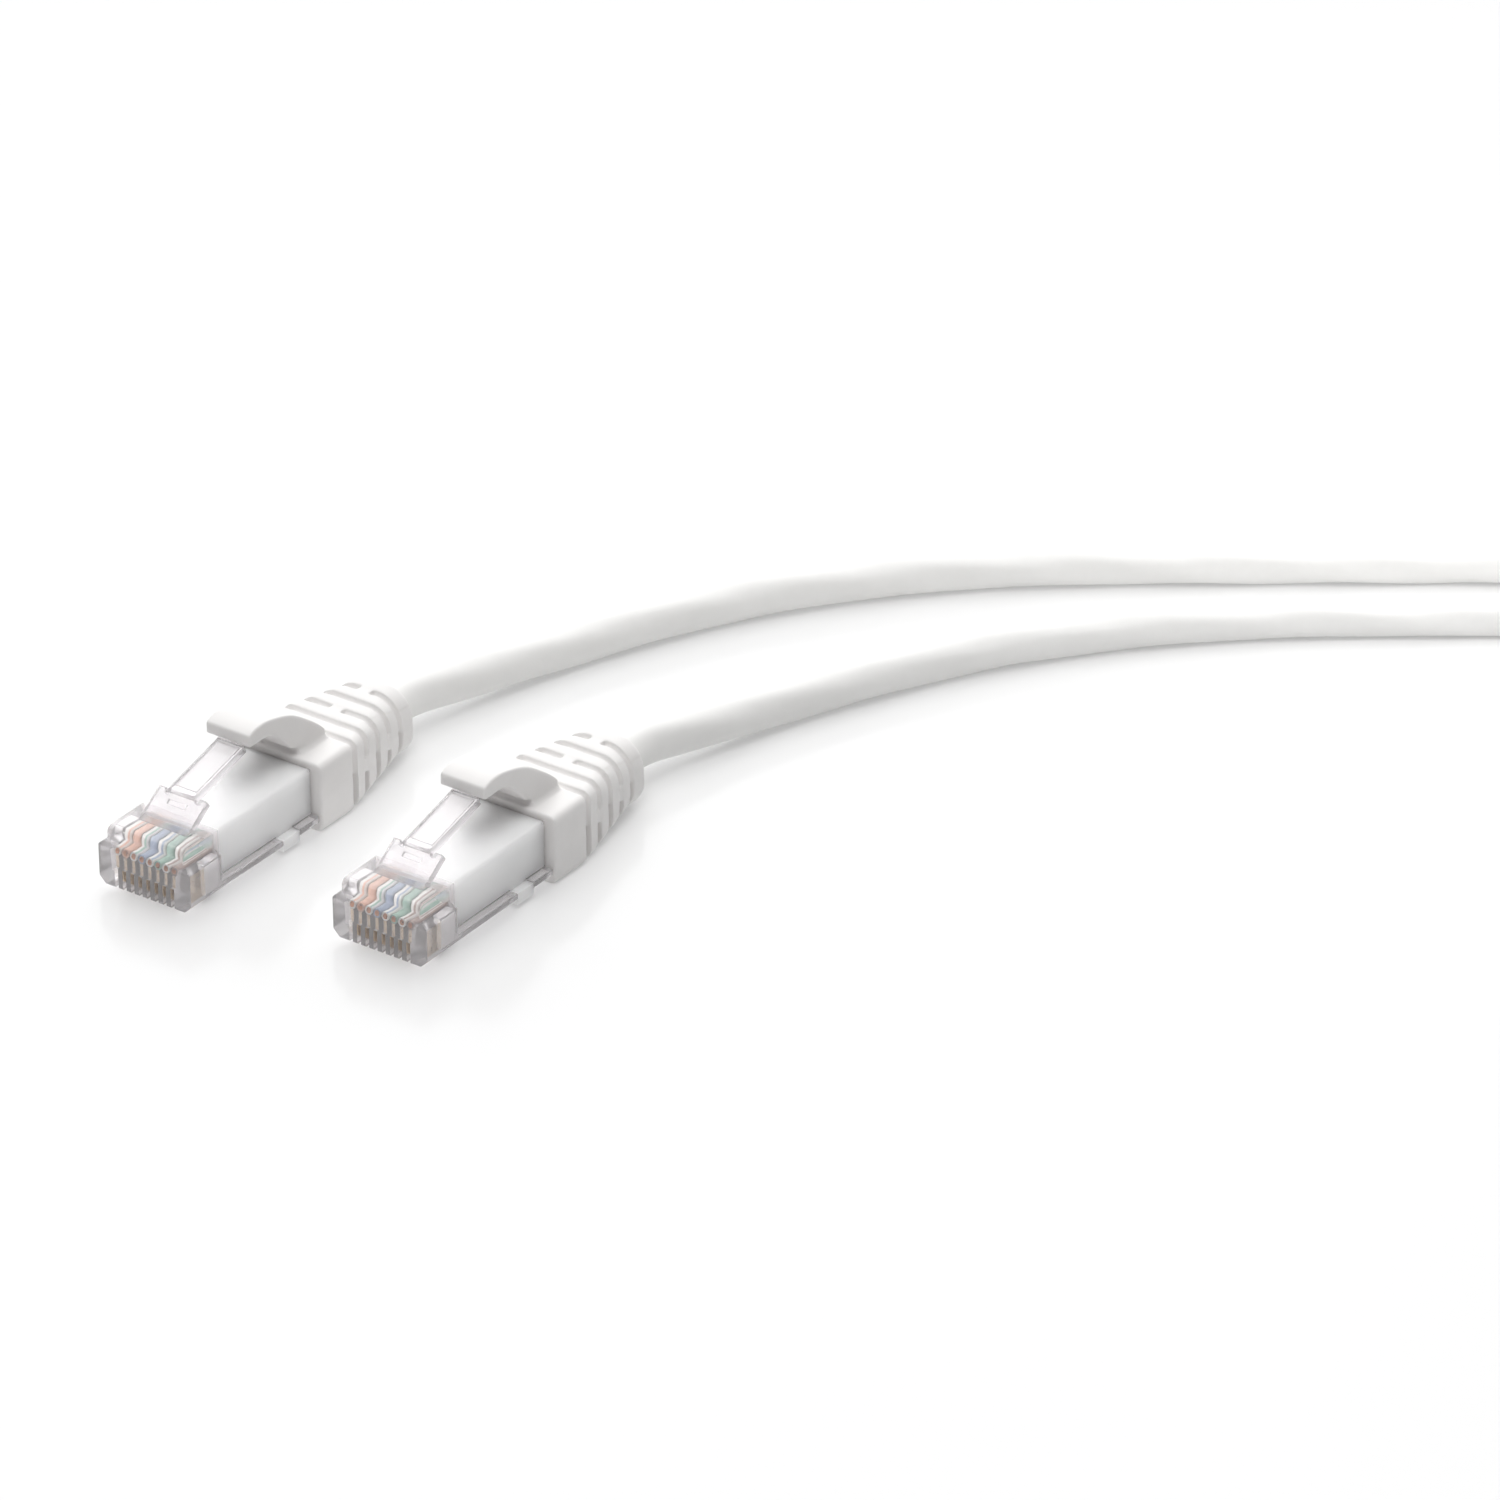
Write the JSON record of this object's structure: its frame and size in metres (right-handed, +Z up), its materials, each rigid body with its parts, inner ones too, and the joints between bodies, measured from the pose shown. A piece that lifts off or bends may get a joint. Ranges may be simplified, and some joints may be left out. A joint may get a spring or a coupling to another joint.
{
  "type": "ethernet patch cable",
  "caption": "White round patch lead with a clear modular plug, spring latch and moulded snagless boot on each end, its spare length wound into a strapped coil.",
  "frame": {"origin": "bottom centre of the box around the two plugs and boots, on the surface they rest on", "axes": "+Y from the plugs' noses towards the cable, +X across the plugs from the first end to the second, +Z up, latches on top"},
  "size_m": [0.1775, 0.146, 0.0139],
  "materials": {
    "clear_polycarbonate": "clear gloss moulded",
    "gold_contact": "gold plated",
    "copper": "bare wire",
    "milky_polyethylene": "milky satin",
    "cable_jacket": "satin PVC",
    "boot_pvc": "satin PVC",
    "strap_fabric": "hook and loop",
    "wire_white_orange": "extruded insulation",
    "wire_orange": "extruded insulation",
    "wire_white_green": "extruded insulation",
    "wire_blue": "extruded insulation",
    "wire_white_blue": "extruded insulation",
    "wire_green": "extruded insulation",
    "wire_white_brown": "extruded insulation",
    "wire_brown": "extruded insulation"
  },
  "bodies": {
    "cable": {"plug_housing_a": "clear_polycarbonate", "contacts_a": "gold_contact", "wire_cores_a": "copper", "inner_mould_a": "milky_polyethylene", "jacket_end_a": "cable_jacket", "boot_a": "boot_pvc", "wire_white_orange_a": "wire_white_orange", "wire_orange_a": "wire_orange", "wire_white_green_a": "wire_white_green", "wire_blue_a": "wire_blue", "wire_white_blue_a": "wire_white_blue", "wire_green_a": "wire_green", "wire_white_brown_a": "wire_white_brown", "wire_brown_a": "wire_brown", "plug_housing_b": "clear_polycarbonate", "contacts_b": "gold_contact", "wire_cores_b": "copper", "inner_mould_b": "milky_polyethylene", "jacket_end_b": "cable_jacket", "boot_b": "boot_pvc", "wire_white_orange_b": "wire_white_orange", "wire_orange_b": "wire_orange", "wire_white_green_b": "wire_white_green", "wire_blue_b": "wire_blue", "wire_white_blue_b": "wire_white_blue", "wire_green_b": "wire_green", "wire_white_brown_b": "wire_white_brown", "wire_brown_b": "wire_brown", "cable_lead_a": "cable_jacket", "cable_lead_b": "cable_jacket", "cable_coil": "cable_jacket", "coil_strap": "strap_fabric"},
    "latch_a_body": {"latch_a": "clear_polycarbonate"},
    "lever_a_body": {"boot_lever_a": "boot_pvc"},
    "latch_b_body": {"latch_b": "clear_polycarbonate"},
    "lever_b_body": {"boot_lever_b": "boot_pvc"}
  },
  "joints": [
    {"name": "lever_a_press", "type": "hinge", "parent": "cable", "child": "lever_a_body", "pos_m": [-0.0128, 0.00065, 0.0079], "axis": [1, 0, 0], "range_deg": [0, 16.26], "stiffness_Nm_per_rad": 0.02},
    {"name": "latch_a_press", "type": "hinge", "parent": "cable", "child": "latch_a_body", "pos_m": [-0.0128, -0.01865, 0.00715], "axis": [-1, 0, 0], "range_deg": [0, 14], "stiffness_Nm_per_rad": 0.02},
    {"name": "lever_b_press", "type": "hinge", "parent": "cable", "child": "lever_b_body", "pos_m": [0.0128, 0.00575, 0.0079], "axis": [1, 0, 0], "range_deg": [0, 16.26], "stiffness_Nm_per_rad": 0.02},
    {"name": "latch_b_press", "type": "hinge", "parent": "cable", "child": "latch_b_body", "pos_m": [0.0128, -0.01355, 0.00715], "axis": [-1, 0, 0], "range_deg": [0, 14], "stiffness_Nm_per_rad": 0.02}
  ],
  "couplings": [
    {"joint": "latch_a_press", "follows": "lever_a_press", "ratio": 0.86},
    {"joint": "latch_b_press", "follows": "lever_b_press", "ratio": 0.86}
  ]
}
